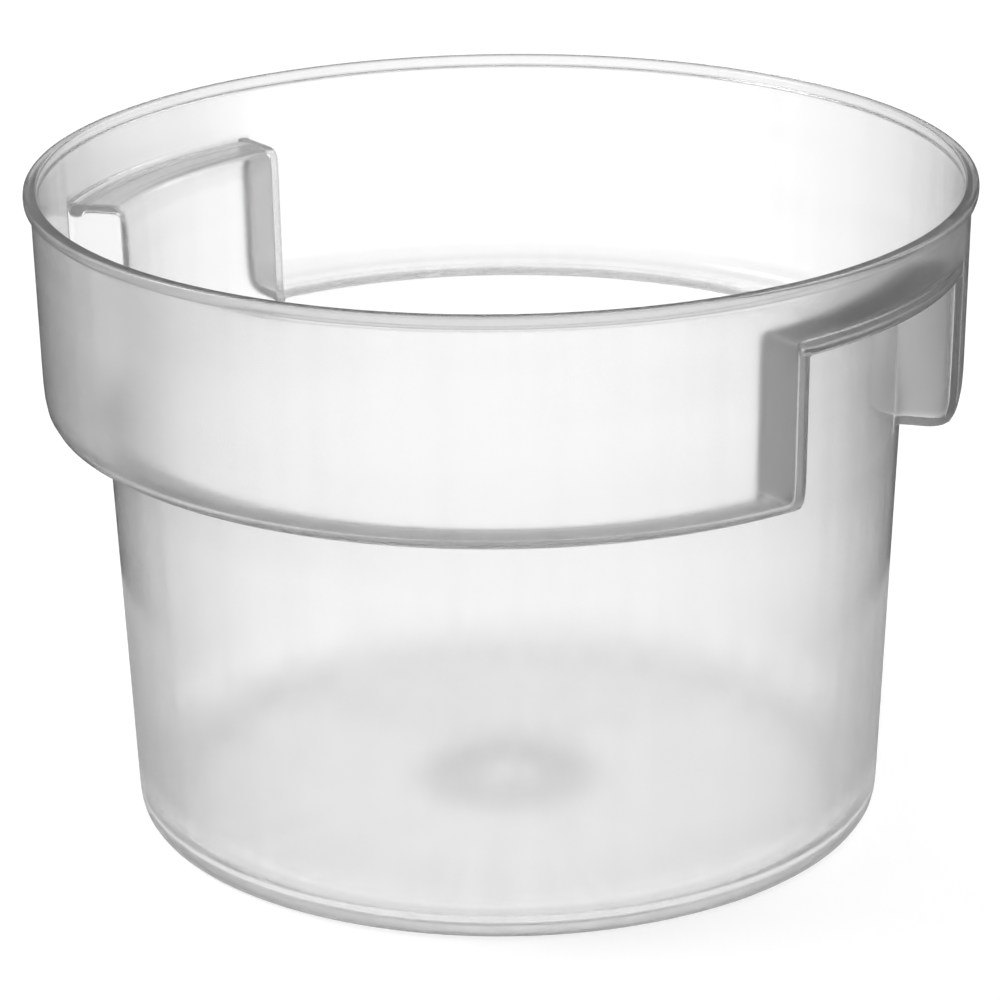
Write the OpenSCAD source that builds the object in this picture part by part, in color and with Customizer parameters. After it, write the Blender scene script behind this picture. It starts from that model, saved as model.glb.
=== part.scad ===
// Bain marie container: a round translucent food tub with a wide collar that hangs in a heated well.
// Under the rim the collar is cut in on two opposite sides, and each cut leaves a ledge to grip.
// The real thing is one thin-walled moulding. Each module here is one region of it, and the regions
// meet face to face, so together they make one continuous shell.
// Millimetres, +Z up. The origin is the centre of the standing face, and the hand-holds lie on X.

/* [Overall] */
// Height from the standing face to the top of the rim
height = 213.5; // [200:0.5:240]
// Outer diameter over the rim bead
rim_d = 306; // [298:1:330]
// Thickness of the moulded wall
wall = 2.4; // [1.8:0.1:3]

/* [Rim] */
// How far the bead stands out from the collar
bead_out = 2.2; // [1.2:0.1:3]
// Height of the bead
bead_h = 4; // [3.6:0.1:6]
// Rounding of the bead's edges
bead_r = 1.4; // [0.6:0.1:1.6]

/* [Collar] */
// Height of the collar, from the step's underside, which hangs on the edge of the well, to the rim's top
collar_h = 75.3; // [60:0.1:90]
// How far the collar stands out from the tub
step_w = 19.8; // [16:0.1:28]
// Outer rounding between the step and the collar
step_r = 7.5; // [6:0.1:12]
// Slope of the collar's wall from the vertical, in degrees
collar_draft = 1.3; // [0:0.1:2]

/* [Tub] */
// Slope of the tub's wall from the vertical, in degrees
tub_draft = 2.5; // [0.5:0.1:3]
// Rounding in the corner between the tub and the step's underside
foot_r = 1.8; // [0.8:0.1:3]

/* [Base] */
// Thickness of the floor
floor_t = 2.6; // [2:0.1:4]
// Height of the floor's underside over the standing face
base_rise = 1; // [0.5:0.1:2]
// Width of the ring that the tub stands on, out to the base's rounding
stand_w = 14; // [10:0.5:25]
// Outer rounding at the bottom edge
base_r = 5; // [3:0.1:8]
// Inner rounding between the floor and the wall
floor_r = 8; // [5:0.1:12]

/* [Gate] */
// Diameter of the shallow dish in the middle of the floor
dish_d = 54; // [40:1:70]
// Depth of the dish
dish_t = 0.7; // [0.4:0.1:1]
// Diameter of the button left in the middle of the dish
gate_d = 13; // [8:0.5:20]

/* [Hand-holds] */
// Width of each hand-hold's opening, straight across at the grip
hold_w = 95; // [70:1:120]
// Distance from the top of the rim down to the grip ledge's underside
grip_h = 22.5; // [18:0.5:30]
// Rounding in the inner corners of the hand-hold
hold_r = 2.2; // [1:0.1:4]
// Slope of the hand-hold's back wall from the vertical, in degrees
hold_draft = 1.2; // [0.5:0.1:3]
// Half of the thickness of the rounded lip that the fingers hold
lip_r = 3.3; // [2.8:0.1:4]
// How far the lip hangs below the ledge
lip_drop = 2; // [1:0.1:2.6]
// Rounding above the lip, inside the collar
lip_fillet = 1.5; // [0.5:0.1:2.5]

/* [Hidden] */
$fn = 180;

// How far a cut runs past the solid that it trims
overrun = wall;
// Straight steps in a quarter turn of an outline
arc_steps = 10;
// Colour of natural polypropylene
milky = [0.90, 0.915, 0.925, 0.6];

// Levels of the base
floor_top = base_rise + floor_t;
base_top = floor_top + floor_r;
// Levels of the step: its underside, where the tub's wall ends, the ledge's upper face, and where the
// collar begins
step_z = height - collar_h;
tub_top = step_z - foot_r;
ledge_top = step_z + wall;
collar_z = step_z + step_r;
// Levels of the hand-hold: the grip ledge's underside, where its upright walls end, and the ledge's top
hold_z = height - grip_h;
hold_top = hold_z - hold_r;
grip_top = hold_z + wall;
// Level of the bead's underside
bead_z = height - bead_h;
// Level and radius of the lip's rounding centre
lip_z = hold_z - lip_drop + lip_r;

// Outer radius of the collar
function collar_at(z) = rim_d / 2 - bead_out - (bead_z - z) * tan(collar_draft);
// Outer radius of the tub below the step
function tub_at(z) = collar_at(collar_z) - step_w - (step_z - z) * tan(tub_draft);
// Outer radius of the hand-hold panels, which carry the tub's wall on upwards
function panel_at(z) = tub_at(step_z) + (z - step_z) * tan(hold_draft);

// Centres of the outer roundings in the profile
step_bend_x = collar_at(collar_z) - step_r;
base_bend_x = tub_at(base_r) - base_r;
floor_bend_x = tub_at(base_top) - wall - floor_r;
stand_in = base_bend_x - stand_w;
lip_x = collar_at(lip_z) - lip_r;
lip_in = lip_x - lip_r;

// Half the angle that a hand-hold spans, and a turn that reaches well past the thickness of a cheek
half_span = asin(hold_w / 2 / collar_at(hold_z));
cheek_turn = 3 * asin(wall / panel_at(hold_top));
// Part of the bend over a cheek that lies above the cheek itself
shoulder_turn = acos(hold_r / (hold_r + wall));

// Distance along a cheek at which its inner corner is centred, which follows the panel's slope
function corner_at(z) = sqrt(pow(panel_at(z) + hold_r, 2) - pow(hold_r, 2));

// Points of a round stretch of an outline, from one angle to another about a centre
function arc(x, z, r, from, to) = [
    for (i = [0:arc_steps])
        [x + r * cos(from + (to - from) * i / arc_steps), z + r * sin(from + (to - from) * i / arc_steps)]
];

// Quarter of a ring in the first quadrant
module quarter_ring(inner, outer) {
    intersection() {
        difference() {
            circle(outer);
            circle(inner);
        }
        square(outer);
    }
}

// Stretch of the tub's sloped wall
module tub_strip(from, to) {
    polygon([
        [tub_at(from) - wall, from],
        [tub_at(from), from],
        [tub_at(to), to],
        [tub_at(to) - wall, to],
    ]);
}

// Stretch of the collar's sloped wall
module collar_strip(from, to) {
    polygon([
        [collar_at(from) - wall, from],
        [collar_at(from), from],
        [collar_at(to), to],
        [collar_at(to) - wall, to],
    ]);
}

// Turns a profile about Z from one angle to another
module turned(from, to) {
    rotate([0, 0, from])
        rotate_extrude(angle = to - from)
            children();
}

// Turns a profile over the span of one hand-hold
module over_hold() {
    turned(-half_span, half_span) children();
}

// Places a hand-hold, drawn on +X, at the left or at the right
module at_hold(side) {
    rotate([0, 0, side == "left" ? 180 : 0]) children();
}

// Places what is drawn at a cheek: X runs out along the cheek's face, and the opening is at -Y.
// The left hand-hold is turned by half a turn, so its front and back ends swap.
module at_cheek(side, end) {
    flip = (end == "front") == (side == "right") ? 1 : 0;
    at_hold(side)
        mirror([0, flip, 0])
            rotate([0, 0, half_span])
                children();
}

module gate_dish() {
    button_share = 0.7;
    rim_share = 0.8;
    dish_z = floor_top - dish_t;
    color(milky)
        rotate_extrude()
            polygon([
                [0, base_rise],
                [dish_d / 2, base_rise],
                [dish_d / 2, floor_top],
                [dish_d / 2 * rim_share, dish_z],
                [gate_d / 2, dish_z],
                [gate_d / 2 * button_share, floor_top],
                [0, floor_top],
            ]);
}

module floor_panel() {
    color(milky)
        rotate_extrude()
            translate([dish_d / 2, base_rise])
                square([stand_in - dish_d / 2, floor_t]);
}

module standing_ring() {
    color(milky)
        rotate_extrude()
            polygon(concat(
                [[stand_in, base_rise], [stand_in + base_rise, 0]],
                arc(base_bend_x, base_r, base_r, 270, 360),
                [[tub_at(base_top), base_top]],
                arc(floor_bend_x, base_top, floor_r, 360, 270),
                [[stand_in, floor_top]]
            ));
}

module tub_wall() {
    color(milky)
        rotate_extrude()
            tub_strip(base_top, tub_top);
}

// Concave bend off the tub, flat ledge, and convex bend up into the collar
module step_profile() {
    inner_x = tub_at(tub_top) + foot_r;
    polygon(concat(
        arc(inner_x, tub_top, foot_r, 180, 90),
        arc(step_bend_x, collar_z, step_r, 270, 360),
        arc(step_bend_x, collar_z, step_r - wall, 360, 270),
        arc(inner_x, tub_top, foot_r + wall, 90, 180)
    ));
}

module step_front() {
    color(milky) turned(180 + half_span, 360 - half_span) step_profile();
}

module step_back() {
    color(milky) turned(half_span, 180 - half_span) step_profile();
}

module collar_front() {
    color(milky) turned(180 + half_span, 360 - half_span) collar_strip(collar_z, bead_z);
}

module collar_back() {
    color(milky) turned(half_span, 180 - half_span) collar_strip(collar_z, bead_z);
}

// Turns a profile over the span of a hand-hold and cuts off the ends, which the bends at the cheeks take
module between_corners(from, to) {
    difference() {
        over_hold() children();
        for (flip = [0, 1])
            mirror([0, flip, 0])
                rotate([0, 0, half_span])
                    translate([0, -hold_r, from])
                        cube([rim_d, rim_d, to - from]);
    }
}

// Back wall of a hand-hold: the tub's own wall, carried on up to the grip ledge at its own slope
module hold_panel(side) {
    color(milky)
        at_hold(side)
            between_corners(step_z, hold_top + overrun)
                polygon([
                    [tub_at(tub_top) - wall, tub_top],
                    [tub_at(tub_top), tub_top],
                    [panel_at(step_z), step_z],
                    [panel_at(hold_top), hold_top],
                    [panel_at(hold_top) - wall, hold_top],
                    [panel_at(step_z) - wall, step_z],
                ]);
}

// Grip ledge, with the bend that joins it to the panel
module hold_ceiling(side) {
    bend_x = panel_at(hold_top) + hold_r;
    color(milky)
        at_hold(side)
            between_corners(hold_top - overrun, grip_top + overrun)
                polygon(concat(
                    arc(bend_x, hold_top, hold_r, 180, 90),
                    [[lip_in, hold_z], [lip_in, grip_top]],
                    arc(bend_x, hold_top, hold_r + wall, 90, 180)
                ));
}

// Upright bend between the panel and a cheek
module hold_corner(side, end) {
    color(milky)
        at_cheek(side, end)
            intersection() {
                translate([corner_at(step_z), -hold_r, step_z])
                    rotate([0, hold_draft, 0])
                        turned(90, 180)
                            translate([hold_r, -overrun])
                                square([wall, hold_top - step_z + 2 * overrun]);
                union() {
                    translate([0, -rim_d, step_z]) cube([rim_d, rim_d, hold_top - step_z]);
                    translate([0, -rim_d, ledge_top]) cube([rim_d, 2 * rim_d, hold_top - ledge_top]);
                }
            }
}

// Rounded corner under the ledge, where the panel, a cheek and the ledge meet
module hold_cap(side, end) {
    color(milky)
        at_cheek(side, end)
            translate([corner_at(hold_top), -hold_r, hold_top])
                turned(90, 180)
                    quarter_ring(hold_r, hold_r + wall);
}

// Space inside the collar that a cheek closes off, from the ledge upwards
module cavity_profile() {
    polygon(concat(
        [[tub_at(tub_top), ledge_top]],
        arc(step_bend_x, collar_z, step_r - wall, 270, 360),
        [[collar_at(bead_z) - wall, bead_z], [tub_at(tub_top), bead_z]]
    ));
}

// What lies outside the hand-hold's upright corner, seen from the side of a cheek
module beyond_corner() {
    translate([0, rim_d, 0])
        rotate([90, 0, 0])
            linear_extrude(2 * rim_d)
                polygon([
                    [corner_at(tub_top), tub_top],
                    [rim_d, tub_top],
                    [rim_d, bead_z],
                    [corner_at(hold_top), bead_z],
                    [corner_at(hold_top), hold_top],
                ]);
}

// Radial wall at an end of a hand-hold, up to the rounded shoulder over the ledge's end
module hold_cheek(side, end) {
    color(milky)
        at_cheek(side, end)
            intersection() {
                rotate([90, 0, 90])
                    linear_extrude(rim_d)
                        polygon(concat(
                            [[0, step_z], [wall, step_z]],
                            arc(-hold_r, hold_top, hold_r + wall, 0, shoulder_turn)
                        ));
                turned(-cheek_turn, cheek_turn) cavity_profile();
                beyond_corner();
            }
}

// Bend that joins a cheek to the ledge, inside the lip
module hold_bend(side, end) {
    color(milky)
        at_cheek(side, end)
            intersection() {
                rotate([90, 0, 90])
                    linear_extrude(rim_d)
                        polygon(concat(
                            arc(-hold_r, hold_top, hold_r + wall, shoulder_turn, 90),
                            arc(-hold_r, hold_top, hold_r, 90, 0)
                        ));
                turned(-cheek_turn, cheek_turn) translate([0, step_z]) square([lip_in, bead_z - step_z]);
                beyond_corner();
            }
}

// Rounded lip along the outer edge of the grip ledge, with the fillet above it
module grip_lip(side) {
    fillet_top = grip_top + lip_fillet;
    fillet_x = collar_at(fillet_top) - wall - lip_fillet;
    color(milky)
        at_hold(side)
            over_hold()
                polygon(concat(
                    arc(lip_x, lip_z, lip_r, 180, 360),
                    [[collar_at(fillet_top), fillet_top]],
                    arc(fillet_x, fillet_top, lip_fillet, 360, 270),
                    [[lip_in, grip_top]]
                ));
}

module grip_band(side) {
    color(milky) at_hold(side) over_hold() collar_strip(grip_top + lip_fillet, bead_z);
}

module rim_bead() {
    inner = rim_d / 2 - wall - bead_out;
    color(milky)
        rotate_extrude()
            polygon(concat(
                arc(inner + bead_r, bead_z + bead_r, bead_r, 180, 270),
                arc(rim_d / 2 - bead_r, bead_z + bead_r, bead_r, 270, 360),
                arc(rim_d / 2 - bead_r, height - bead_r, bead_r, 0, 90),
                arc(inner + bead_r, height - bead_r, bead_r, 90, 180)
            ));
}

gate_dish();
floor_panel();
standing_ring();
tub_wall();
step_front();
step_back();
collar_front();
collar_back();
hold_panel("left");  // hold_panel_left
hold_panel("right");  // hold_panel_right
hold_ceiling("left");  // hold_ceiling_left
hold_ceiling("right");  // hold_ceiling_right
hold_corner("left", "front");  // hold_corner_left_front
hold_corner("left", "back");  // hold_corner_left_back
hold_corner("right", "front");  // hold_corner_right_front
hold_corner("right", "back");  // hold_corner_right_back
hold_cap("left", "front");  // hold_cap_left_front
hold_cap("left", "back");  // hold_cap_left_back
hold_cap("right", "front");  // hold_cap_right_front
hold_cap("right", "back");  // hold_cap_right_back
hold_cheek("left", "front");  // hold_cheek_left_front
hold_cheek("left", "back");  // hold_cheek_left_back
hold_cheek("right", "front");  // hold_cheek_right_front
hold_cheek("right", "back");  // hold_cheek_right_back
hold_bend("left", "front");  // hold_bend_left_front
hold_bend("left", "back");  // hold_bend_left_back
hold_bend("right", "front");  // hold_bend_right_front
hold_bend("right", "back");  // hold_bend_right_back
grip_lip("left");  // grip_lip_left
grip_lip("right");  // grip_lip_right
grip_band("left");  // grip_band_left
grip_band("right");  // grip_band_right
rim_bead();
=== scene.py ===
"""Round food container in milky see-through plastic, moulded in one piece, on a plain pale floor.

The moulding is modelled as two skins of a quarter, an outer and an inner one, which are mirrored twice and
joined at the rim. Sizes are in millimetres and become metres where a mesh is made. The material reads places
on the moulding in metres.
"""

import logging
import math
from dataclasses import dataclass, field
from enum import Enum
from typing import Callable, Iterable, Sequence

import bmesh
import bpy
from mathutils import Matrix, Vector


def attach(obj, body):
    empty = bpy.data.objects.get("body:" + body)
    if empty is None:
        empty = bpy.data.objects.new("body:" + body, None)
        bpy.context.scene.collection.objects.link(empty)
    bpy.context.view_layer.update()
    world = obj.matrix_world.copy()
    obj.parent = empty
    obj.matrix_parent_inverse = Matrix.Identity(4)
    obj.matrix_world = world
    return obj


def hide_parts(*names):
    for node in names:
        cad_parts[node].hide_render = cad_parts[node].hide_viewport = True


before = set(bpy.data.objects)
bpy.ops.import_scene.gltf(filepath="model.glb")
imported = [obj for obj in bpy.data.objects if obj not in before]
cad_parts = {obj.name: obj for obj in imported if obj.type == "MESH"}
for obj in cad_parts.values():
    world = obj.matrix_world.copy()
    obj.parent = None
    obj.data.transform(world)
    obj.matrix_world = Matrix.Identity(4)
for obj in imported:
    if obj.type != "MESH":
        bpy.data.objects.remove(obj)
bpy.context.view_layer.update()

LOG = logging.getLogger("container")
MM = 0.001
NEAR = 2e-5
DOWN = 270.0
QUARTER = 90.0
PLAIN_STEPS = 19
BOUNCES = 24
GLOSSY_BOUNCES = 12
Point = tuple[float, float]
Span = tuple[float, float]
Colour = tuple[float, float, float]
Socket = bpy.types.NodeSocket


class Side(Enum):
    """The two faces of the moulded wall."""

    OUTER = "outer"
    INNER = "inner"


def arc_cage(centre: Point, radius: float, start: float, sweep: float) -> list[Point]:
    """Gives the three cage points whose smoothed line is a quarter of a circle.

    Args:
        centre: Centre of the circle, out from the axis and up.
        radius: Radius of the circle.
        start: Angle of the first point, in degrees.
        sweep: Signed angle to the last point, in degrees.

    Returns:
        The first point, the pulled middle point and the last point.
    """
    def on_circle(angle: float) -> Point:
        """Gives the circle's point at an angle in degrees."""
        turn = math.radians(angle)
        return centre[0] + radius * math.cos(turn), centre[1] + radius * math.sin(turn)

    first, middle, last = (on_circle(start + sweep * share) for share in (0.0, 0.5, 1.0))
    # Smoothing takes a point to (a + 4 * point + b) / 6, and this is that turned round.
    pulled = tuple((6 * m - a - b) / 4 for a, m, b in zip(first, middle, last))
    return [first, pulled, last]


@dataclass
class MouldSizes:
    """Sizes of the moulding, as in the part's source, in millimetres and degrees."""

    height: float = 213.5
    rim_d: float = 306.0
    wall: float = 2.4
    bead_out: float = 2.2
    bead_h: float = 4.0
    collar_h: float = 75.3
    step_w: float = 19.8
    step_r: float = 7.5
    collar_draft: float = 1.3
    tub_draft: float = 2.5
    floor_top: float = 3.6
    base_rise: float = 1.0
    base_r: float = 5.0
    floor_r: float = 8.0
    dish_d: float = 54.0
    dish_t: float = 0.7
    gate_d: float = 13.0
    hold_w: float = 95.0
    grip_h: float = 22.5
    hold_r: float = 2.2
    hold_draft: float = 1.2
    lip_w: float = 6.4
    lip_drop: float = 2.0

    @property
    def bead_z(self) -> float:
        """Level of the bead's underside."""
        return self.height - self.bead_h

    @property
    def step_z(self) -> float:
        """Level of the step's underside."""
        return self.height - self.collar_h

    @property
    def ledge_top(self) -> float:
        """Level of the step's upper face, inside."""
        return self.step_z + self.wall

    @property
    def collar_z(self) -> float:
        """Level at which the step's rounding ends and the collar begins."""
        return self.step_z + self.step_r

    @property
    def hold_z(self) -> float:
        """Level of the grip ledge's underside."""
        return self.height - self.grip_h

    @property
    def grip_top(self) -> float:
        """Level of the grip ledge's upper face."""
        return self.hold_z + self.wall

    def collar_at(self, z: float) -> float:
        """Outer radius of the collar at level z."""
        return self.rim_d / 2 - self.bead_out - (self.bead_z - z) * math.tan(math.radians(self.collar_draft))

    def tub_at(self, z: float) -> float:
        """Outer radius of the tub at level z."""
        drop = (self.step_z - z) * math.tan(math.radians(self.tub_draft))
        return self.collar_at(self.collar_z) - self.step_w - drop

    def panel_at(self, z: float) -> float:
        """Outer radius of a hand-hold's back wall at level z."""
        return self.tub_at(self.step_z) + (z - self.step_z) * math.tan(math.radians(self.hold_draft))

    @property
    def half_span(self) -> float:
        """Half of the angle that a hand-hold spans, in degrees."""
        return math.degrees(math.asin(self.hold_w / 2 / self.collar_at(self.hold_z)))


@dataclass
class MeshPen:
    """Draws and shapes one mesh in edit mode with Blender's own operators."""

    name: str
    obj: bpy.types.Object = field(init=False)

    def start(self, first: Point) -> None:
        """Adds a plane, keeps one corner of it and puts that at the first point of a profile.

        Args:
            first: Radius and level of the point, in millimetres.
        """
        bpy.ops.object.select_all(action="DESELECT")
        bpy.ops.mesh.primitive_plane_add(size=2 * MM, location=(0, 0, 0))
        self.obj = bpy.context.object
        self.obj.name = self.name
        self.obj.data.name = self.name
        bpy.ops.object.mode_set(mode="EDIT")
        bpy.ops.mesh.select_mode(type="VERT")
        corner = Vector((MM, MM, 0))
        self.pick_verts(lambda co: (co - corner).length > NEAR)
        bpy.ops.mesh.delete(type="VERT")
        bpy.ops.mesh.select_all(action="SELECT")
        bpy.ops.transform.translate(value=Vector((first[0] * MM, 0, first[1] * MM)) - corner)

    def cage(self) -> bmesh.types.BMesh:
        """Gives the edit mesh."""
        return bmesh.from_edit_mesh(self.obj.data)

    def pick_verts(self, test: Callable[[Vector], bool]) -> None:
        """Selects the vertices that pass a test of their place, and what they span.

        Args:
            test: Takes a vertex's place and says whether it is wanted.
        """
        bpy.ops.mesh.select_mode(type="VERT")
        bpy.ops.mesh.select_all(action="DESELECT")
        mesh = self.cage()
        for vert in mesh.verts:
            vert.select = test(vert.co)
        mesh.select_flush_mode()
        bmesh.update_edit_mesh(self.obj.data)

    def pick_edges(self, test: Callable[[bmesh.types.BMEdge], bool]) -> int:
        """Selects the edges that pass a test.

        Args:
            test: Takes an edge and says whether it is wanted.

        Returns:
            How many edges were selected.
        """
        bpy.ops.mesh.select_all(action="DESELECT")
        bpy.ops.mesh.select_mode(type="EDGE")
        mesh = self.cage()
        picked = [edge for edge in mesh.edges if test(edge)]
        for edge in picked:
            edge.select = True
        mesh.select_flush_mode()
        bmesh.update_edit_mesh(self.obj.data)
        return len(picked)

    def draw(self, points: Sequence[Point], turn: float = 0.0) -> None:
        """Extrudes the selected vertex along a profile.

        Args:
            points: Radius and level of each next point, the first being where the vertex is.
            turn: Angle of the profile about the axis, in degrees.
        """
        out = Vector((math.cos(math.radians(turn)), math.sin(math.radians(turn)), 0))
        for here, there in zip(points, points[1:]):
            step = (out * (there[0] - here[0]) + Vector((0, 0, there[1] - here[1]))) * MM
            bpy.ops.mesh.extrude_vertices_move(TRANSFORM_OT_translate={"value": step})

    def turn_on(self, angles: Sequence[float]) -> None:
        """Spins the selected profile about the axis through each stop in turn.

        Spin takes clockwise as positive.

        Args:
            angles: The angle that it stands at and then each stop, in degrees.
        """
        for here, there in zip(angles, angles[1:]):
            bpy.ops.mesh.spin(steps=1, angle=math.radians(here - there), center=(0, 0, 0), axis=(0, 0, 1))

    def weld(self) -> None:
        """Merges the vertices that lie on each other."""
        bpy.ops.mesh.select_all(action="SELECT")
        bpy.ops.mesh.remove_doubles(threshold=NEAR)

    def leave(self) -> None:
        """Goes back to object mode."""
        bpy.ops.object.mode_set(mode="OBJECT")


def around(corner: Point, offsets: Iterable[Point]) -> list[Point]:
    """Gives the points that lie at some offsets from a corner."""
    return [(corner[0] + out, corner[1] + up) for out, up in offsets]


def scaled(radius: float, level: float, steps: Iterable[Point]) -> list[Point]:
    """Gives points at shares of a radius, each raised by its own amount from a level."""
    return [(radius * share, level + up) for share, up in steps]


@dataclass(frozen=True)
class Loops:
    """Loops that only hold the shape of one skin's cage, in millimetres and, round the axis, in degrees."""

    tub: tuple[float, ...]
    panel: tuple[float, ...]
    off_tub: float
    step: tuple[float, ...]
    collar: tuple[float, ...]
    over_knee: float
    opening: tuple[float, ...]
    before_edge: tuple[float, ...]
    after_edge: tuple[float, ...]
    inset: float


OUTER_LOOPS = Loops(
    tub=(9.5, 26, 46, 68, 90, 110, 125), panel=(141.4, 152, 164, 176), off_tub=3.2,
    step=(135.0, 137.4, 139.6), collar=(156, 167, 178, 187.4), over_knee=192.2,
    opening=(0, 3.0, 6.0, 9.0, 12.0, 14.6), before_edge=(1.8, 0.55), after_edge=(0.45, 2.0), inset=1.4)
INNER_LOOPS = Loops(
    tub=(17, 30, 46, 68, 90, 110, 125, 133.6), panel=(147.6, 157.5, 168, 178), off_tub=7.0,
    step=(136.0, 138.0, 140.0), collar=(156, 167, 178, 190.2), over_knee=196,
    opening=(0, 3.0, 6.0, 9.0, 12.0, 14.4), before_edge=(3.3, 1.2), after_edge=(0.6, 2.4), inset=2.2)


@dataclass
class SkinPlan:
    """Cage of one skin: a plain profile, and where a hand-hold takes another way round a cheek."""

    side: Side
    loops: Loops
    cheek_turn: float
    below: list[Point]
    hold: list[Point]
    plain: list[Point]
    above: list[Point]

    def whole_hold(self) -> list[Point]:
        """Gives the profile through the hand-hold."""
        return self.below + self.hold[1:-1] + self.above

    def stops_in(self) -> list[float]:
        """Gives the stops from the hand-hold's middle to the cheek, in degrees."""
        near = [self.cheek_turn - gap for gap in self.loops.before_edge]
        return [*self.loops.opening, *near, self.cheek_turn]

    def stops_out(self) -> list[float]:
        """Gives the stops from the cheek to a quarter turn, in degrees."""
        near = [self.cheek_turn, *(self.cheek_turn + gap for gap in self.loops.after_edge)]
        return near + [near[-1] + (QUARTER - near[-1]) * (i + 1) / PLAIN_STEPS for i in range(PLAIN_STEPS)]


@dataclass(frozen=True)
class RimCage:
    """Points of the rim's cage, as offsets from the bead's corners, in millimetres."""

    outer_levels: Span = (197, 203)
    root: tuple[Point, ...] = ((-0.03, -1.1), (0.0, -0.1), (0.9, 0.0))
    flank: tuple[Point, ...] = ((-0.5, 0.05), (0.0, 0.7))
    crown: tuple[Point, ...] = ((0.0, -1.1), (-0.25, -0.3), (-1.1, 0.0))
    outer_top: tuple[Point, ...] = ((2.7, 0.0),)
    inner_wall: tuple[Point, ...] = ((0.0, 203), (0.02, 208))
    inner_top: tuple[Point, ...] = ((0.0, -1.2), (0.3, -0.35), (1.1, 0.0), (1.9, 0.0))


@dataclass(frozen=True)
class BaseCage:
    """Points of the base's cage, in millimetres and, round the gate and dish, in shares of their radii."""

    gate_top: tuple[Point, ...] = ((0.5, 0.0), (0.72, -0.02))
    gate_foot: tuple[Point, ...] = ((0.92, 0.1), (1.12, 0.0))
    dish_floor: tuple[Point, ...] = ((0.45, 0.0), (0.76, 0.0), (0.84, 0.12))
    dish_edge: tuple[Point, ...] = ((0.97, -0.08), (1.05, 0.0), (1.3, 0.0))
    floor: tuple[float, ...] = (58, 85, 106)
    floor_sweep: float = 88.0
    underside: tuple[float, ...] = (0, 30, 70, 98, 103.6)
    ring: tuple[Point, ...] = ((104.7, 0.9), (105.8, 0.08), (107.4, 0.0), (112, 0.0))


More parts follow.
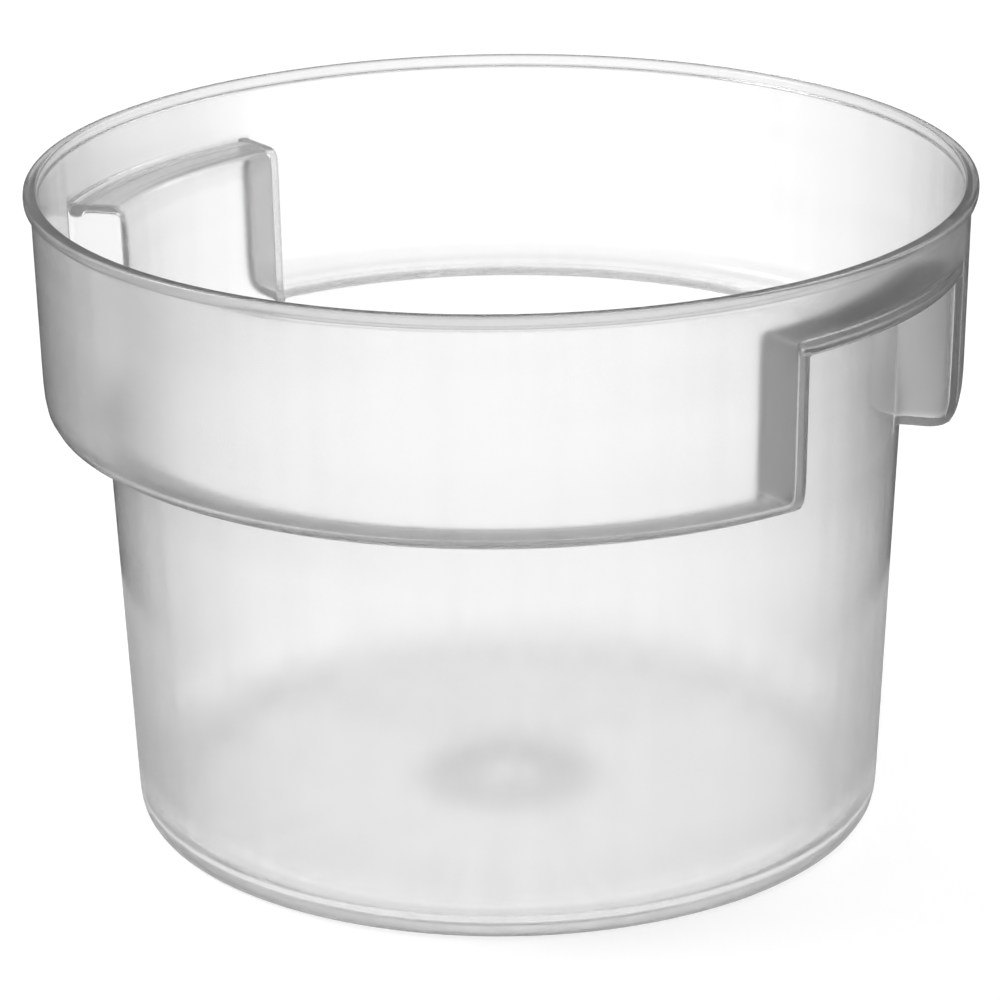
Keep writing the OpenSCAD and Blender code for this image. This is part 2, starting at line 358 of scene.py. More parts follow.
@dataclass
class MouldCage:
    """Works out the cages of both skins from the sizes."""

    sizes: MouldSizes
    rim: RimCage = RimCage()
    base: BaseCage = BaseCage()
    edge_lead: float = 3.2
    corner_lead: float = 3.9
    lip_lead: float = 1.8
    knee_lead: float = 2.6
    roof: tuple[float, ...] = (136.2, 139.4, 142.6)
    cheek_radius: float = 139.0

    def rim_half(self, side: Side) -> list[Point]:
        """Gives the rim bead from the wall below it to the middle of its top.

        Args:
            side: The skin.

        Returns:
            Points from the wall upwards.
        """
        s, rim = self.sizes, self.rim
        out, top = s.rim_d / 2, s.height
        inner = out - s.bead_out - s.wall
        if side is Side.OUTER:
            return ([(s.collar_at(z), z) for z in rim.outer_levels]
                    + around((s.collar_at(s.bead_z), s.bead_z), rim.root) + around((out, s.bead_z), rim.flank)
                    + around((out, top), rim.crown) + around((inner, top), rim.outer_top))
        return around((inner, 0.0), rim.inner_wall) + around((inner, top), rim.inner_top)

    def outer(self) -> SkinPlan:
        """Gives the outer skin's cage.

        Returns:
            The cage, from the base's middle to the rim's top.
        """
        s, loops = self.sizes, OUTER_LOOPS
        below = [(radius, s.base_rise) for radius in self.base.underside] + list(self.base.ring)
        below += arc_cage((s.tub_at(s.base_r) - s.base_r, s.base_r), s.base_r, DOWN, QUARTER - s.tub_draft)
        below += [(s.tub_at(z), z) for z in (*loops.tub, s.step_z - self.edge_lead, s.step_z)]
        foot = below[-1]
        step = arc_cage((s.collar_at(s.collar_z) - s.step_r, s.collar_z), s.step_r, DOWN, QUARTER)
        lip_z = s.hold_z - s.lip_drop
        knee = (s.collar_at(lip_z), lip_z)
        back, lip = s.panel_at(s.hold_z), s.collar_at(s.hold_z) - s.lip_w
        hold = [foot] + [(s.panel_at(z), z) for z in (*loops.panel, s.hold_z - self.corner_lead)]
        hold += [(x, s.hold_z) for x in (back, back + self.corner_lead, lip - self.lip_lead, lip)]
        hold += [(lip, lip_z), (lip + self.edge_lead, lip_z), knee]
        plain = [foot] + [(x, s.step_z) for x in (foot[0] + loops.off_tub, *loops.step)] + step
        plain += [(s.collar_at(z), z) for z in loops.collar] + [knee]
        above = [knee, (s.collar_at(loops.over_knee), loops.over_knee)] + self.rim_half(Side.OUTER)
        return SkinPlan(Side.OUTER, loops, s.half_span, below, hold, plain, above)

    def floor(self) -> list[Point]:
        """Gives the floor's profile inside.

        Returns:
            Points from the gate mark over the dish and the panel to the wall.
        """
        s, base = self.sizes, self.base
        gate, dish, top = s.gate_d / 2, s.dish_d / 2, s.floor_top
        deep = top - s.dish_t
        round_z = top + s.floor_r
        round_x = s.tub_at(round_z) - s.wall - s.floor_r
        return ([(0, top)] + scaled(gate, top, base.gate_top) + scaled(gate, deep, base.gate_foot)
                + scaled(dish, deep, base.dish_floor) + scaled(dish, top, base.dish_edge)
                + [(radius, top) for radius in base.floor]
                + arc_cage((round_x, round_z), s.floor_r, DOWN, base.floor_sweep))

    def inner(self) -> SkinPlan:
        """Gives the inner skin's cage.

        Returns:
            The cage, from the floor's middle to the rim's top.
        """
        s, loops, wall = self.sizes, INNER_LOOPS, self.sizes.wall
        below = self.floor() + [(s.tub_at(z) - wall, z) for z in loops.tub]
        below += [(s.tub_at(s.step_z) - wall, s.ledge_top)]
        foot = below[-1]
        step = arc_cage((s.collar_at(s.collar_z) - s.step_r, s.collar_z), s.step_r - wall, DOWN, QUARTER)
        knee = (s.collar_at(s.grip_top) - wall, s.grip_top)
        bend_z = s.hold_z - s.hold_r
        bend = arc_cage((s.panel_at(bend_z) + s.hold_r, bend_z), s.hold_r + wall, 2 * QUARTER, -QUARTER)
        hold = [foot] + [(s.panel_at(z) - wall, z) for z in loops.panel] + bend
        hold += [(x, s.grip_top) for x in (*self.roof, knee[0] - self.knee_lead)] + [knee]
        plain = [foot] + [(x, s.ledge_top) for x in (foot[0] + loops.off_tub, *loops.step)] + step
        plain += [(s.collar_at(z) - wall, z) for z in loops.collar] + [knee]
        above = [knee, (s.collar_at(loops.over_knee) - wall, loops.over_knee)] + self.rim_half(Side.INNER)
        edge = s.half_span + math.degrees(wall / self.cheek_radius)
        return SkinPlan(Side.INNER, loops, edge, below, hold, plain, above)


def lies_on(edge: bmesh.types.BMEdge, spans: Iterable[tuple[Vector, Vector]]) -> bool:
    """Says whether an edge is one of some stretches.

    Args:
        edge: The edge.
        spans: Both ends of each stretch.

    Returns:
        Whether its ends are those of a stretch, either way round.
    """
    a, b = (vert.co for vert in edge.verts)
    return any((a - p).length + (b - q).length < 2 * NEAR or (a - q).length + (b - p).length < 2 * NEAR
               for p, q in spans)


@dataclass
class Moulding:
    """The container's one continuous shell."""

    sizes: MouldSizes
    nodes: Iterable[str]
    pieces: list[bpy.types.Object] = field(default_factory=list)
    rim_depth: float = 0.01

    def skin(self, plan: SkinPlan) -> bpy.types.Object:
        """Models a quarter of one skin: hand-hold, cheek and plain wall.

        Args:
            plan: The skin's cage.

        Returns:
            The open quarter skin.
        """
        pen = MeshPen(f"skin_{plan.side.value}")
        profile = plan.whole_hold()
        pen.start(profile[0])
        pen.draw(profile)
        bpy.ops.mesh.select_all(action="SELECT")
        pen.turn_on(plan.stops_in())
        self.fork(pen, plan)
        pen.turn_on(plan.stops_out())
        pen.weld()
        self.cheek(pen, plan)
        pen.leave()
        return pen.obj

    def place(self, point: Point, turn: float) -> Vector:
        """Gives a profile point's place at an angle about the axis, in metres.

        Args:
            point: Radius and level, in millimetres.
            turn: Angle about the axis, in degrees.

        Returns:
            The place.
        """
        angle = math.radians(turn)
        return Vector((point[0] * math.cos(angle), point[0] * math.sin(angle), point[1])) * MM

    def fork(self, pen: MeshPen, plan: SkinPlan) -> None:
        """Draws the plain wall's profile at the cheek, and selects it to be turned on from there.

        Args:
            pen: The mesh, with the hand-hold's last profile in it.
            plan: The skin's cage.
        """
        foot = self.place(plan.plain[0], plan.cheek_turn)
        pen.pick_verts(lambda co: (co - foot).length < NEAR)
        pen.draw(plan.plain, plan.cheek_turn)
        pen.weld()
        kept = [self.place(p, plan.cheek_turn) for p in plan.below + plan.plain[1:-1] + plan.above]
        spans = list(zip(kept, kept[1:]))
        pen.pick_edges(lambda edge: lies_on(edge, spans))

    def cheek(self, pen: MeshPen, plan: SkinPlan) -> None:
        """Fills the opening between the hand-hold and the plain wall with the cheek, and frames it.

        Args:
            pen: The mesh, with that opening in it.
            plan: The skin's cage.
        """
        corner = len(plan.plain) // 2
        floor_line = [self.place(p, plan.cheek_turn) for p in plan.plain[:corner + 1]]
        roof_line = [self.place(p, plan.cheek_turn) for p in plan.hold[corner:]]
        spans = list(zip(floor_line, floor_line[1:])) + list(zip(roof_line, roof_line[1:]))
        count = pen.pick_edges(lambda edge: edge.is_boundary and lies_on(edge, spans))
        LOG.info("%s cheek lines: %d edges", plan.side.value, count)
        bpy.ops.mesh.fill_grid(use_interp_simple=False)
        bpy.ops.mesh.select_mode(type="FACE")
        bpy.ops.mesh.inset(thickness=plan.loops.inset * MM, depth=0, use_boundary=True)

    def shell(self) -> bpy.types.Object:
        """Joins the quarter's skins at the rim, mirrors them twice and smooths the cage.

        Returns:
            The finished shell.
        """
        cage = MouldCage(self.sizes)
        skins = [self.skin(cage.outer()), self.skin(cage.inner())]
        bpy.ops.object.select_all(action="DESELECT")
        for skin in skins:
            skin.select_set(True)
        bpy.context.view_layer.objects.active = skins[0]
        bpy.ops.object.join()
        shell = bpy.context.object
        shell.name = shell.data.name = "moulded_shell"
        self.close_rim(shell)
        mirror = shell.modifiers.new("halves", "MIRROR")
        mirror.use_axis = (True, True, False)
        mirror.merge_threshold = NEAR
        bpy.ops.object.modifier_apply(modifier=mirror.name)
        smooth = shell.modifiers.new("smooth", "SUBSURF")
        smooth.levels = smooth.render_levels = 1
        bpy.ops.object.modifier_apply(modifier=smooth.name)
        bpy.ops.object.shade_smooth()
        LOG.info("shell: %d faces", len(shell.data.polygons))
        return shell

    def close_rim(self, shell: bpy.types.Object) -> None:
        """Bridges the quarter's two skins across the top of the rim and turns all faces outwards.

        Args:
            shell: The joined skins, still open at the mirror planes.
        """
        pen = MeshPen(shell.name)
        pen.obj = shell
        bpy.ops.object.mode_set(mode="EDIT")
        pen.weld()
        top = (self.sizes.height - self.rim_depth) * MM

        def on_rim(edge: bmesh.types.BMEdge) -> bool:
            """Says whether an open edge runs round the rim and not along a mirror plane."""
            a, b = (v.co for v in edge.verts)
            across = max(abs(a.x), abs(b.x)) < NEAR or max(abs(a.y), abs(b.y)) < NEAR
            return edge.is_boundary and min(a.z, b.z) > top and not across

        count = pen.pick_edges(on_rim)
        LOG.info("rim: %d open edges bridged", count)
        bpy.ops.mesh.bridge_edge_loops()
        pen.weld()
        bpy.ops.mesh.normals_make_consistent(inside=False)
        pen.leave()

    def build(self) -> None:
        """Makes the shell and sets it in the frame."""
        shell = self.shell()
        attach(shell, "root")
        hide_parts(*self.nodes)
        self.pieces.append(shell)


@dataclass
class NodePen:
    """Adds and joins the nodes of one material, world or group."""

    tree: bpy.types.NodeTree

    def add(self, kind: str, **settings: object) -> bpy.types.Node:
        """Adds a node.

        Args:
            kind: The node's type, without the word ShaderNode.
            settings: Properties to set on it.

        Returns:
            The node.
        """
        node = self.tree.nodes.new("ShaderNode" + kind)
        for name, value in settings.items():
            setattr(node, name, value)
        return node

    def feed(self, socket: Socket, source: object) -> None:
        """Links a socket to another, or gives it a plain value.

        Args:
            socket: The input.
            source: A socket, a number, a vector or a colour.
        """
        if isinstance(source, bpy.types.NodeSocket):
            self.tree.links.new(source, socket)
        elif isinstance(source, tuple) and socket.type == "RGBA":
            socket.default_value = (*source[:3], 1.0)
        else:
            socket.default_value = source

    def maths(self, operation: str, *values: object) -> Socket:
        """Adds a Math node.

        Args:
            operation: What it does.
            values: Its inputs.

        Returns:
            Its result.
        """
        node = self.add("Math", operation=operation)
        for socket, value in zip(node.inputs, values):
            self.feed(socket, value)
        return node.outputs[0]

    def chain(self, operation: str, values: Sequence[object]) -> Socket:
        """Adds Math nodes that take in one value after another.

        Args:
            operation: What each does.
            values: Sockets and numbers, the first of them a socket.

        Returns:
            The last result, or the first value if it is alone.
        """
        result = values[0]
        for value in values[1:]:
            result = self.maths(operation, result, value)
        return result

    def product(self, *values: object) -> Socket:
        """Multiplies values together."""
        return self.chain("MULTIPLY", values)

    def most(self, *values: object) -> Socket:
        """Gives the greatest of some values."""
        return self.chain("MAXIMUM", values)

    def split(self, vector: Socket) -> tuple[Socket, Socket, Socket]:
        """Gives a vector's three parts.

        Args:
            vector: The vector.

        Returns:
            X, Y and Z.
        """
        node = self.add("SeparateXYZ")
        self.feed(node.inputs[0], vector)
        return tuple(node.outputs)

    def vector(self, *parts: object) -> Socket:
        """Puts a vector together.

        Args:
            parts: X, Y and Z.

        Returns:
            The vector.
        """
        node = self.add("CombineXYZ")
        for socket, value in zip(node.inputs, parts):
            self.feed(socket, value)
        return node.outputs[0]

    def length(self, x: Socket, y: Socket) -> Socket:
        """Gives the distance from the upright axis."""
        return self.maths("SQRT", self.maths("ADD", self.product(x, x), self.product(y, y)))

    def noise(self, vector: Socket, scale: float, detail: float = 2.0) -> Socket:
        """Adds a Noise texture.

        Args:
            vector: Where it is read.
            scale: Its scale.
            detail: Its octaves.

        Returns:
            Its factor, about a half on the average.
        """
        node = self.add("TexNoise")
        self.feed(node.inputs["Vector"], vector)
        self.feed(node.inputs["Scale"], scale)
        self.feed(node.inputs["Detail"], detail)
        return node.outputs["Fac"]

    def spread(self, value: Socket, ends: Span, out: Span) -> Socket:
        """Adds a smooth Map Range.

        Args:
            value: What is mapped.
            ends: The values that it runs between.
            out: What it gives at those.

        Returns:
            The result.
        """
        node = self.add("MapRange", interpolation_type="SMOOTHSTEP")
        for name, given in zip(("Value", "From Min", "From Max", "To Min", "To Max"), (value, *ends, *out)):
            self.feed(node.inputs[name], given)
        return node.outputs["Result"]

    def rise(self, value: Socket, ends: Span, top: float = 1.0) -> Socket:
        """Gives a smooth rise from nought to the top as a value runs between two ends."""
        return self.spread(value, ends, (0.0, top))

    def fall(self, value: Socket, ends: Span, top: float = 1.0) -> Socket:
        """Gives a smooth fall from the top to nought as a value runs between two ends."""
        return self.spread(value, ends, (top, 0.0))

    def blend(self, share: object, first: object, second: object) -> Socket:
        """Adds a colour Mix.

        Args:
            share: How much of the second there is.
            first: A colour.
            second: A colour.

        Returns:
            The mixed colour.
        """
        node = self.add("Mix", data_type="RGBA")
        for name, given in (("Factor_Float", share), ("A_Color", first), ("B_Color", second)):
            self.feed(next(i for i in node.inputs if i.identifier == name), given)
        return next(o for o in node.outputs if o.identifier == "Result_Color")


@dataclass
class Spot:
    """Where a point of the moulding lies. Past is its turn past the nearest window's edge, in radians."""

    place: Socket
    x: Socket
    y: Socket
    z: Socket
    radius: Socket
    past: Socket


@dataclass(frozen=True)
class FlowLines:
    """Fine lines that the melt leaves as it runs out over the floor and up the wall."""

    inmost: float = 0.004
    streak_stretch: float = 0.25
    streak_octaves: float = 3.0
    ring_wander: float = 0.012
    grain_scale: float = 900.0
    grain_octaves: float = 1.0

    def streaks(self, pen: NodePen, spot: Spot, scale: Socket) -> Socket:
        """Gives noise drawn out along the flow.

        Args:
            pen: The group's nodes.
            spot: Where the point lies.
            scale: How fine it is round the axis.

        Returns:
            The noise.
        """
        middle = pen.maths("MAXIMUM", spot.radius, self.inmost)
        run = pen.maths("ADD", spot.z, spot.radius)
        spokes = pen.vector(pen.maths("DIVIDE", spot.x, middle), pen.maths("DIVIDE", spot.y, middle),
                            pen.product(run, self.streak_stretch))
        return pen.noise(spokes, scale, self.streak_octaves)

    def rings(self, pen: NodePen, spot: Spot, scale: Socket) -> Socket:
        """Gives noise that runs round the axis, across the flow.

        Args:
            pen: The group's nodes.
            spot: Where the point lies.
            scale: How fine it is along the flow.

        Returns:
            The noise.
        """
        middle = pen.maths("MAXIMUM", spot.radius, self.inmost)
        waves = pen.vector(pen.product(pen.maths("DIVIDE", spot.x, middle), self.ring_wander),
                           pen.product(pen.maths("DIVIDE", spot.y, middle), self.ring_wander),
                           pen.maths("ADD", spot.z, spot.radius))
        return pen.noise(waves, scale)

    def grain(self, pen: NodePen, spot: Spot) -> Socket:
        """Gives fine even noise."""
        return pen.noise(spot.place, self.grain_scale, self.grain_octaves)


@dataclass(frozen=True)
class GateMark:
    """Dull ring round the spot where the melt came in: shares of the dish's radius, and a level in metres."""

    pale_spot: Span = (0.16, 0.5)
    fades_out: Span = (0.8, 1.4)
    level: Span = (0.012, 0.02)

    def mask(self, pen: NodePen, spot: Spot, dish: Socket) -> Socket:
        """Gives the ring.

        Args:
            pen: The group's nodes.
            spot: Where the point lies.
            dish: Radius of the dish.

        Returns:
            One on the ring, and nought away from it.
        """
        share = pen.maths("DIVIDE", spot.radius, dish)
        return pen.product(pen.rise(share, self.pale_spot), pen.fall(share, self.fades_out),
                           pen.fall(spot.z, self.level))


@dataclass(frozen=True)
class HoldPaintedShade:
    """Painted shade in the hand-holds' cheeks, ledge, grip band and window edges. Levels and radii in metres,
    turns in radians past a window's edge.
    """

    back: Span = (0.1265, 0.1285)
    front: Span = (0.1455, 0.1470)
    cheek: Span = (-0.016, -0.004)
    cheek_end: Span = (0.022, 0.034)
    ledge: Span = (0.184, 0.1885)
    above_step: Span = (0.139, 0.144)
    web_depth: Span = (0.130, 0.149)
    recess_shade_share: Span = (0.60, 0.72)
    band_end: Span = (-0.15, 0.10)
    band_foot: Span = (0.183, 0.189)
    band_height: Span = (0.190, 0.212)
    band_share: Span = (0.70, 0.56)
    corner: Span = (-0.004, 0.001)
    corner_end: Span = (0.012, 0.018)
    corner_foot: Span = (0.139, 0.146)
    lip: Span = (0.183, 0.187)
    lip_end: Span = (0.0, 0.02)
    edge_top: Span = (0.1915, 0.1945)
    edge_depth: Span = (0.1435, 0.1460)
    middle: Span = (-0.05, 0.05)
    left_share: float = 0.3
    soft: Span = (0.4, 0.6)

    def recess(self, pen: NodePen, spot: Spot) -> Socket:
        """Gives the cheeks and the ceiling ledge.

        Args:
            pen: The group's nodes.
            spot: Where the point lies.

        Returns:
            One on them, and nought away from them.
        """
        inside = pen.product(pen.rise(spot.radius, self.back), pen.fall(spot.radius, self.front))
        cheek = pen.product(pen.rise(spot.past, self.cheek), pen.fall(spot.past, self.cheek_end))
        ledge = pen.product(pen.rise(spot.z, self.ledge), pen.fall(spot.past, self.cheek_end))
        return pen.product(inside, pen.most(cheek, ledge), pen.rise(spot.z, self.above_step))

    def band(self, pen: NodePen, spot: Spot) -> Socket:
        """Gives the grip band over the window, fading out beside it."""
        return pen.product(pen.fall(spot.past, self.band_end), pen.rise(spot.z, self.band_foot),
                           pen.spread(spot.z, self.band_height, self.band_share))

    def edge(self, pen: NodePen, spot: Spot) -> Socket:
        """Gives the window's outer edge: the corners beside it and the lip over it.

        Args:
            pen: The group's nodes.
            spot: Where the point lies.

        Returns:
            One on the edge, and nought away from it.
        """
        corner = pen.product(pen.rise(spot.past, self.corner), pen.fall(spot.past, self.corner_end),
                             pen.rise(spot.z, self.corner_foot))
        lip = pen.product(pen.rise(spot.z, self.lip), pen.fall(spot.past, self.lip_end))
        return pen.product(pen.most(corner, lip), pen.fall(spot.z, self.edge_top),
                           pen.rise(spot.radius, self.edge_depth))

    def mask(self, pen: NodePen, spot: Spot) -> Socket:
        """Gives how much painted shade the hand-holds take. The one on the left takes less of it.

        Args:
            pen: The group's nodes.
            spot: Where the point lies.

        Returns:
            The painted shade, from nought to one.
        """
        recess_shade = pen.product(self.recess(pen, spot), pen.spread(spot.radius, self.web_depth, self.recess_shade_share))
        whole = pen.most(recess_shade, self.edge(pen, spot), self.band(pen, spot))
        # The hold on the left takes a smaller share of the painted shade.
        return pen.product(whole, pen.spread(spot.x, self.middle, (self.left_share, 1.0)))

    def dull(self, pen: NodePen, spot: Spot) -> Socket:
        """Gives the cheeks and ledge of the hand-hold on the right, which are duller."""
        return pen.rise(pen.product(self.recess(pen, spot), pen.rise(spot.x, self.middle)), self.soft)


@dataclass(frozen=True)
class TrimPaintedShade:
    """Painted shade on the bend under the collar, the rim bead and the foot, in metres."""

    facing: Span = (0.56, 0.83)
    front: Span = (-0.04, 0.04)
    back_share: float = 0.4
    bend_radius: Span = (0.140, 0.144)
    bend_level: Span = (0.1445, 0.148)
    bend_share: float = 0.42
    bead_level: Span = (0.2085, 0.2100)
    bead_share: float = 0.40
    foot_radius: Span = (0.106, 0.110)
    foot_level: Span = (0.008, 0.011)
    sole_level: Span = (0.002, 0.006)
    sole_share: float = 0.26

    def foot(self, pen: NodePen, spot: Spot) -> Socket:
        """Gives the rounded foot of the wall."""
        return pen.product(pen.rise(spot.radius, self.foot_radius), pen.fall(spot.z, self.foot_level))

    def mask(self, pen: NodePen, spot: Spot) -> Socket:
        """Gives how much painted shade the trim takes. The bend and the bead take less of it at the back.

        Args:
            pen: The group's nodes.
            spot: Where the point lies.

        Returns:
            The painted shade, from nought to one.
        """
        # Painted shade: the bend and the bead take it fully on the front side, along (0.56, -0.83), and less
        # at the back.
        forward = pen.maths("SUBTRACT", pen.product(spot.x, self.facing[0]),
                            pen.product(spot.y, self.facing[1]))
        bend = pen.product(pen.rise(spot.radius, self.bend_radius, self.bend_share),
                           pen.fall(spot.z, self.bend_level))
        bead = pen.rise(spot.z, self.bead_level, self.bead_share)
        turned = pen.product(pen.most(bend, bead), pen.spread(forward, self.front, (self.back_share, 1.0)))
        # Painted shade along the foot, darkest at the sole.
        sole = pen.product(self.foot(pen, spot), pen.fall(spot.z, self.sole_level, self.sole_share))
        return pen.most(turned, sole)


@dataclass(frozen=True)
class UprightWalls:
    """Tells the walls from the flat faces, which stay clear when seen at a slant: the slant grey, partly
    painted shade, falls on the walls only. In metres.
    """

    inner_edge: Span = (0.1295, 0.1320)
    outer_edge: Span = (0.141, 0.146)
    underside: Span = (0.136, 0.138)
    upper_side: Span = (0.1415, 0.1435)
    step_share: float = 0.85
    floor_level: Span = (0.012, 0.022)

    def mask(self, pen: NodePen, spot: Spot) -> Socket:
        """Gives the walls.

        Args:
            pen: The group's nodes.
            spot: Where the point lies.

        Returns:
            One on them, and little on the step and the floor.
        """
        across = pen.product(pen.rise(spot.radius, self.inner_edge), pen.fall(spot.radius, self.outer_edge))
        step = pen.product(across, pen.rise(spot.z, self.underside),
                           pen.fall(spot.z, self.upper_side, self.step_share))
        return pen.maths("MINIMUM", pen.maths("SUBTRACT", 1.0, step), pen.rise(spot.z, self.floor_level))


@dataclass(frozen=True)
class MeltFlowAndShade:
    """Node group with all that the moulding leaves in the plastic, and the masks of the painted shade."""

    name: str = "melt flow and painted shade"
    inputs: tuple[tuple[str, float], ...] = (
        ("Streak Scale", 24.0), ("Ring Scale", 60.0), ("Dish Radius", 0.027), ("Half Span", 0.33))
    outputs: tuple[str, ...] = ("Streaks", "Rings", "Grain", "Gate", "Webs", "Soft", "Upright", "Level")
    lines: FlowLines = FlowLines()
    gate: GateMark = GateMark()
    hold: HoldPaintedShade = HoldPaintedShade()
    trim: TrimPaintedShade = TrimPaintedShade()
    walls: UprightWalls = UprightWalls()
    gate_share: float = 0.24
    foot_soft: float = 0.3

    def spot(self, pen: NodePen, half_span: Socket) -> Spot:
        """Reads where a point lies.

        Args:
            pen: The group's nodes.
            half_span: Half of the angle that a hand-hold spans, in radians.

        Returns:
            Its place, its parts, its distance from the axis and its turn past the nearest window's edge.
        """
        place = pen.add("TexCoord").outputs["Object"]
        x, y, z = pen.split(place)
        turn = pen.maths("ARCTAN2", pen.maths("ABSOLUTE", y), pen.maths("ABSOLUTE", x))
        return Spot(place, x, y, z, pen.length(x, y), pen.maths("SUBTRACT", turn, half_span))

    def group(self) -> bpy.types.NodeTree:
        """Gives the node group, making it the first time.

        Returns:
            A group that puts out the flow lines, the gate mark, the painted shade of the hand-holds and trim,
            the dull places, the walls and the level.
        """
        made = bpy.data.node_groups.get(self.name)
        if made:
            return made
        tree = bpy.data.node_groups.new(self.name, "ShaderNodeTree")
        face = tree.interface
        for name, value in self.inputs:
            face.new_socket(name, in_out="INPUT", socket_type="NodeSocketFloat").default_value = value
        for name in self.outputs:
            face.new_socket(name, in_out="OUTPUT", socket_type="NodeSocketFloat")
        pen = NodePen(tree)
        given, out = tree.nodes.new("NodeGroupInput").outputs, tree.nodes.new("NodeGroupOutput")
        spot = self.spot(pen, given["Half Span"])
        gate = self.gate.mask(pen, spot, given["Dish Radius"])
        # Painted shade of the hand-holds and the trim.
        painted_shade = pen.most(self.hold.mask(pen, spot), self.trim.mask(pen, spot))
        foot = self.trim.foot(pen, spot)
        marks = {
            "Streaks": self.lines.streaks(pen, spot, given["Streak Scale"]),
            "Rings": self.lines.rings(pen, spot, given["Ring Scale"]),
            "Grain": self.lines.grain(pen, spot),
            "Gate": gate,
            "Webs": pen.most(painted_shade, pen.product(gate, self.gate_share)),
            "Soft": pen.most(pen.product(foot, self.foot_soft), self.hold.dull(pen, spot)),
            "Upright": self.walls.mask(pen, spot),
            "Level": spot.z,
        }
        for name, socket in marks.items():
            pen.feed(out.inputs[name], socket)
        return tree


@dataclass(frozen=True)
class MilkyPlastic:
    """Natural polypropylene as it is moulded: colourless, milky and half clear."""

    name: str = "milky natural polypropylene"
    clear: Colour = (0.985, 0.985, 0.985)
    dense: Colour = (0.84, 0.84, 0.84)
    # Grey at a slant: partly the longer path through milky plastic, partly painted shade.
    slanted: Colour = (0.27, 0.27, 0.27)
    # Grey of the painted shade in the hand-holds and on the trim.
    painted_shade_grey: Colour = (0.45, 0.45, 0.45)
    half_span: float = 0.321
    streak_range: Span = (0.4, 0.7)
    streak_share: float = 0.06
    ring_range: Span = (0.45, 0.7)
    ring_share: float = 0.16
    collar_level: Span = (0.13, 0.15)
    collar_share: float = 0.10
    slant_blend: float = 0.5
    slant_level: Span = (0.10, 0.138)
    slant_power: Span = (2.2, 1.22)
    low_level: Span = (0.02, 0.09)
    low_power: float = 0.6
    rough_range: Span = (0.3, 0.7)
    rough: Span = (0.16, 0.20)
    soft_rough: float = 0.20
    bump_strength: float = 0.12
    bump_depth: float = 0.0004
    ring_height: float = 0.7
    grain_height: float = 0.12
    transmission: float = 0.95
    ior: float = 1.49

    def tint(self, pen: NodePen, marks: dict[str, Socket]) -> Socket:
        """Gives the colour: clear, milky along the flow lines, grey as painted shade, and grey at a slant.

        Args:
            pen: The material's nodes.
            marks: Outputs of the node group.

        Returns:
            The colour.
        """
        cloud = pen.maths("ADD", pen.rise(marks["Streaks"], self.streak_range, self.streak_share),
                          pen.rise(marks["Rings"], self.ring_range, self.ring_share))
        cloud = pen.maths("ADD", cloud, pen.rise(marks["Level"], self.collar_level, self.collar_share))
        milky = pen.blend(pen.most(cloud, marks["Gate"]), self.clear, self.dense)
        # Grey at a slant on the walls: partly the longer path through milky plastic, partly painted shade.
        facing = pen.add("LayerWeight")
        pen.feed(facing.inputs["Blend"], self.slant_blend)
        power = pen.maths("SUBTRACT", pen.spread(marks["Level"], self.slant_level, self.slant_power),
                          pen.fall(marks["Level"], self.low_level, self.low_power))
        slant = pen.product(pen.maths("POWER", facing.outputs["Facing"], power), marks["Upright"])
        # Painted shade of the hand-holds and the trim, then the slant grey.
        return pen.blend(slant, pen.blend(marks["Webs"], milky, self.painted_shade_grey), self.slanted)

    def material(self) -> bpy.types.Material:
        """Makes the material.

        Returns:
            A rough see-through plastic whose tint and gloss follow the melt's flow, with painted shade in its
            tint.
        """
        made = bpy.data.materials.new(self.name)
        made.use_nodes = True
        pen = NodePen(made.node_tree)
        shader = made.node_tree.nodes["Principled BSDF"]
        flow = pen.add("Group", node_tree=MeltFlowAndShade().group())
        pen.feed(flow.inputs["Half Span"], self.half_span)
        marks = dict(flow.outputs.items())
        pen.feed(shader.inputs["Base Color"], self.tint(pen, marks))
        rough = pen.spread(marks["Streaks"], self.rough_range, self.rough)
        rough = pen.maths("ADD", rough, pen.product(marks["Soft"], self.soft_rough))
        pen.feed(shader.inputs["Roughness"], rough)
        bump = pen.add("Bump")
        pen.feed(bump.inputs["Strength"], self.bump_strength)
        pen.feed(bump.inputs["Distance"], self.bump_depth)
        pen.feed(bump.inputs["Height"], pen.maths("ADD", pen.product(marks["Rings"], self.ring_height),
                                                  pen.product(marks["Grain"], self.grain_height)))
        pen.feed(shader.inputs["Normal"], bump.outputs[0])
        shader.inputs["Metallic"].default_value = 0.0
        shader.inputs["IOR"].default_value = self.ior
        shader.inputs["Transmission Weight"].default_value = self.transmission
        return made


@dataclass
class Softbox:
    """One soft lamp: where it hangs, how wide it is in metres, and its power in watts."""

    place: Vector
    size: float
    power: float


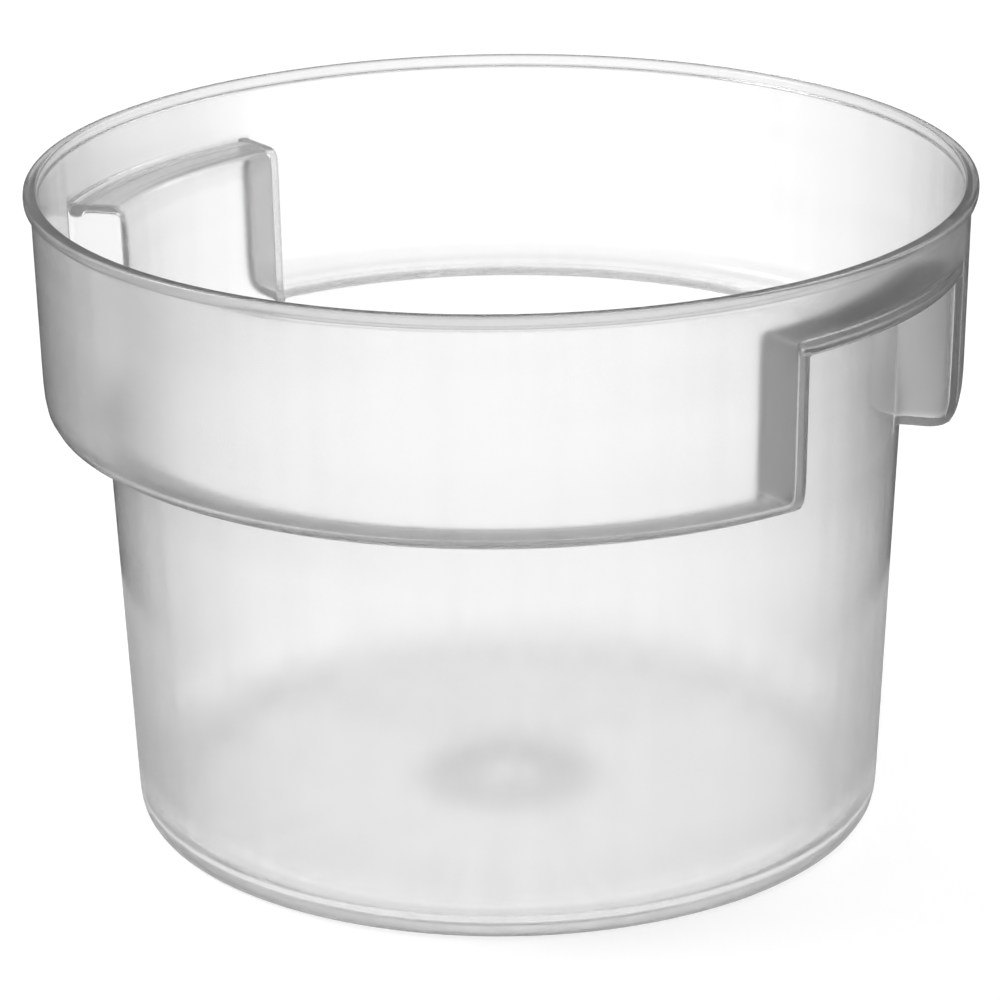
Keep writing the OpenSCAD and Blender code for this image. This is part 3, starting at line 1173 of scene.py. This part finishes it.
@dataclass
class Studio:
    """Pale floor, soft lamps and the light all round."""

    floor_span: float = 6.0
    floor_cuts: int = 3
    white: float = 1.0
    around: float = 0.62
    mirrored: float = 0.04
    ceiling: float = 0.10
    ceiling_from: Span = (0.25, 0.75)
    floor_glow: float = 0.84
    floor_plain: float = 0.70
    floor_rough: float = 0.9
    table_glow: float = 0.45
    table: Span = (0.25, 0.27)
    floor_colour: Colour = (0.42, 0.42, 0.42)
    middle: Vector = field(default_factory=lambda: Vector((0, 0, 0.1)))
    lamps: list[Softbox] = field(default_factory=lambda: [
        Softbox(Vector((-1.3, -0.9, 1.5)), 0.9, 14.0), Softbox(Vector((0.4, 1.6, 1.7)), 1.2, 10.0)])

    def seen(self, pen: NodePen, *kinds: str) -> Socket:
        """Says whether a ray is one of some kinds.

        Args:
            pen: The nodes that ask.
            kinds: Outputs of the Light Path node.

        Returns:
            One where it is, and otherwise nought.
        """
        path = pen.add("LightPath")
        return pen.most(*(path.outputs[kind] for kind in kinds))

    def world(self) -> None:
        """Lights the object plainly from all round, behind a white background."""
        world = bpy.data.worlds.new("studio")
        bpy.context.scene.world = world
        world.use_nodes = True
        pen = NodePen(world.node_tree)
        back = world.node_tree.nodes["Background"]
        high = pen.rise(pen.split(pen.add("TexCoord").outputs["Generated"])[2], self.ceiling_from)
        shone = pen.blend(high, (self.mirrored,) * 3, (self.ceiling,) * 3)
        lit = pen.blend(self.seen(pen, "Is Glossy Ray"), (self.around,) * 3, shone)
        direct = self.seen(pen, "Is Camera Ray", "Is Transmission Ray")
        pen.feed(back.inputs["Color"], pen.blend(direct, lit, (self.white,) * 3))

    def floor(self) -> None:
        """Lays the pale floor, which glows a little to the camera and keeps the shadow."""
        bpy.ops.object.select_all(action="DESELECT")
        bpy.ops.mesh.primitive_plane_add(size=self.floor_span, location=(0, 0, 0))
        floor = bpy.context.object
        floor.name = floor.data.name = "studio_floor"
        bpy.ops.object.mode_set(mode="EDIT")
        bpy.ops.mesh.subdivide(number_cuts=self.floor_cuts)
        bpy.ops.object.mode_set(mode="OBJECT")
        floor.data.materials.append(self.floor_material())

    def floor_material(self) -> bpy.types.Material:
        """Makes the floor's material. What the plastic mirrors of it is white only near the object.

        Returns:
            A pale matt material.
        """
        made = bpy.data.materials.new("pale floor")
        made.use_nodes = True
        pen = NodePen(made.node_tree)
        shader = made.node_tree.nodes["Principled BSDF"]
        shader.inputs["Roughness"].default_value = self.floor_rough
        shader.inputs["Specular IOR Level"].default_value = 0.0
        shader.inputs["Emission Color"].default_value = (1.0, 1.0, 1.0, 1.0)
        x, y, _ = pen.split(pen.add("TexCoord").outputs["Object"])
        camera = self.seen(pen, "Is Camera Ray")
        through = self.seen(pen, "Is Transmission Ray")
        unseen = pen.maths("SUBTRACT", 1.0, pen.most(camera, through))
        shone = pen.product(self.seen(pen, "Is Glossy Ray"), unseen)
        near = pen.product(shone, pen.spread(pen.length(x, y), self.table, (1.0, self.mirrored)))
        pen.feed(shader.inputs["Base Color"], pen.blend(shone, self.floor_colour, (self.mirrored,) * 3))
        pen.feed(shader.inputs["Emission Strength"], pen.most(
            pen.product(through, self.floor_glow), pen.product(near, self.table_glow),
            pen.product(camera, self.floor_plain)))
        return made

    def light(self) -> None:
        """Hangs the soft lamps."""
        for number, box in enumerate(self.lamps):
            lamp = bpy.data.lights.new(f"softbox_{number}", "AREA")
            lamp.shape = "DISK"
            lamp.size, lamp.energy = box.size, box.power
            holder = bpy.data.objects.new(lamp.name, lamp)
            holder.location = box.place
            holder.rotation_euler = (self.middle - box.place).to_track_quat("-Z", "Y").to_euler()
            bpy.context.scene.collection.objects.link(holder)

    def build(self) -> None:
        """Sets the studio up."""
        self.world()
        self.floor()
        self.light()


@dataclass
class Camera:
    """The photograph's viewpoint."""

    target: Vector = field(default_factory=lambda: Vector((0, 0, 0.1)))
    distance: float = 1.4223
    azimuth: float = 34.1
    elevation: float = 20.3
    roll: float = -0.69
    lens: float = 155.1
    sensor: float = 36.0
    shift: Span = (-0.0048, 0.0033)

    def build(self) -> None:
        """Sets the camera up and makes it the scene's own."""
        side, up = math.radians(self.azimuth), math.radians(self.elevation)
        back = Vector((math.sin(side) * math.cos(up), -math.cos(side) * math.cos(up), math.sin(up)))
        data = bpy.data.cameras.new("camera")
        data.lens, data.sensor_width = self.lens, self.sensor
        data.shift_x, data.shift_y = self.shift
        camera = bpy.data.objects.new("camera", data)
        turn = (-back).to_track_quat("-Z", "Y").to_matrix().to_4x4()
        roll = Matrix.Rotation(math.radians(self.roll), 4, "Z")
        camera.matrix_world = Matrix.Translation(self.target + back * self.distance) @ turn @ roll
        bpy.context.scene.collection.objects.link(camera)
        bpy.context.scene.camera = camera


def main() -> None:
    """Builds the container, its studio and the camera."""
    logging.basicConfig(level=logging.INFO, format="%(name)s: %(message)s")
    scene = bpy.context.scene
    scene.view_settings.view_transform = "Standard"
    scene.cycles.use_denoising = True
    scene.cycles.max_bounces = scene.cycles.transmission_bounces = BOUNCES
    scene.cycles.glossy_bounces = GLOSSY_BOUNCES
    moulding = Moulding(MouldSizes(), sorted(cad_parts))
    moulding.build()
    plastic = MilkyPlastic().material()
    for piece in moulding.pieces:
        piece.data.materials.clear()
        piece.data.materials.append(plastic)
        LOG.info("%s: %d faces", piece.name, len(piece.data.polygons))
    Studio().build()
    Camera().build()


if __name__ == "__main__":
    main()
